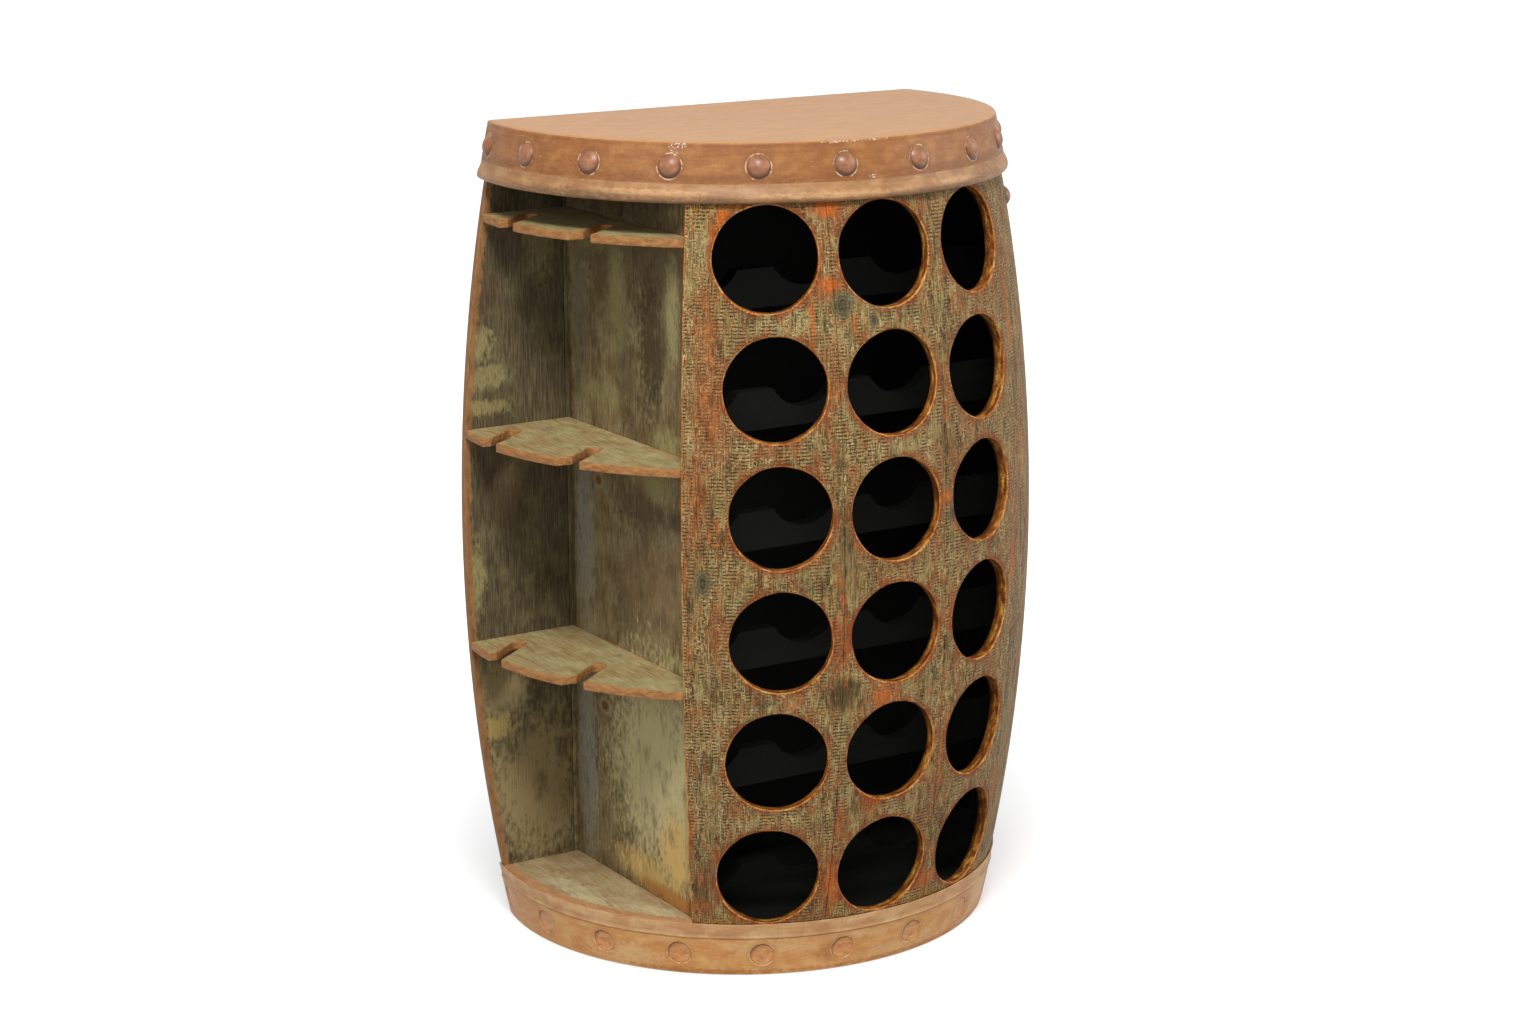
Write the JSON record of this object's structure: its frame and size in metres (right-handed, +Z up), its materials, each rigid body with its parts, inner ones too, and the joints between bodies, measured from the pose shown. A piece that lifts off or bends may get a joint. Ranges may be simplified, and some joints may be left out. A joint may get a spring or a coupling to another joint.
{
  "type": "barrel bar cabinet",
  "caption": "Half-barrel drinks cabinet with round bottle holes across the bowed front, hanging-glass shelves in one open side, riveted hoops and a flat back.",
  "frame": {"origin": "centre of the bounding box at floor level", "axes": "+Z up, the bottle holes face -Y, the flat back faces +Y, the open glass rack is on the -X side"},
  "size_m": [0.5734, 0.35, 0.8],
  "materials": {
    "cover_paint": "copper-tan brushed paint with pale chips",
    "band_paint": "worn copper-brown brushed paint",
    "rivet_paint": "copper-brown brushed paint",
    "front_wood": "weathered olive-brown paint over orange wood",
    "side_wood": "weathered copper-brown paint",
    "divider_wood": "weathered grey-olive paint",
    "shelf_wood": "tan-olive paint with rubbed orange edges",
    "floor_wood": "grey-olive-tan paint",
    "rear_wood": "dark olive-brown stain",
    "inner_wood": "dark brown stain",
    "chamber_paint": "matt black paint",
    "screw_steel": "dull zinc"
  },
  "bodies": {
    "root": {"top_cover": "cover_paint", "top_core": "inner_wood", "top_rail": "inner_wood", "top_bead": "band_paint", "top_rivets": "rivet_paint", "base_band": "band_paint", "base_bead": "band_paint", "base_rail": "inner_wood", "base_batten_left": "inner_wood", "base_batten_right": "inner_wood", "base_rivets": "rivet_paint", "floor_board": "floor_wood", "rear_board_1": "rear_wood", "rear_board_2": "rear_wood", "rear_board_3": "rear_wood", "rear_board_4": "rear_wood", "rear_board_5": "rear_wood", "rear_screws": "screw_steel", "bottle_stave_left": "front_wood", "bottle_stave_middle": "front_wood", "bottle_stave_right": "front_wood", "side_stave_front": "side_wood", "side_stave_rear": "side_wood", "side_rivets": "rivet_paint", "divider_board_1": "divider_wood", "divider_board_2": "divider_wood", "divider_board_3": "divider_wood", "divider_board_4": "divider_wood", "glass_shelf_lower": "shelf_wood", "glass_shelf_middle": "shelf_wood", "glass_shelf_upper": "shelf_wood", "chamber_lining": "chamber_paint", "cradle_rail_1": "chamber_paint", "cradle_rail_2": "chamber_paint", "cradle_rail_3": "chamber_paint", "cradle_rail_4": "chamber_paint", "cradle_rail_5": "chamber_paint", "cradle_rail_6": "chamber_paint"}
  },
  "joints": []
}
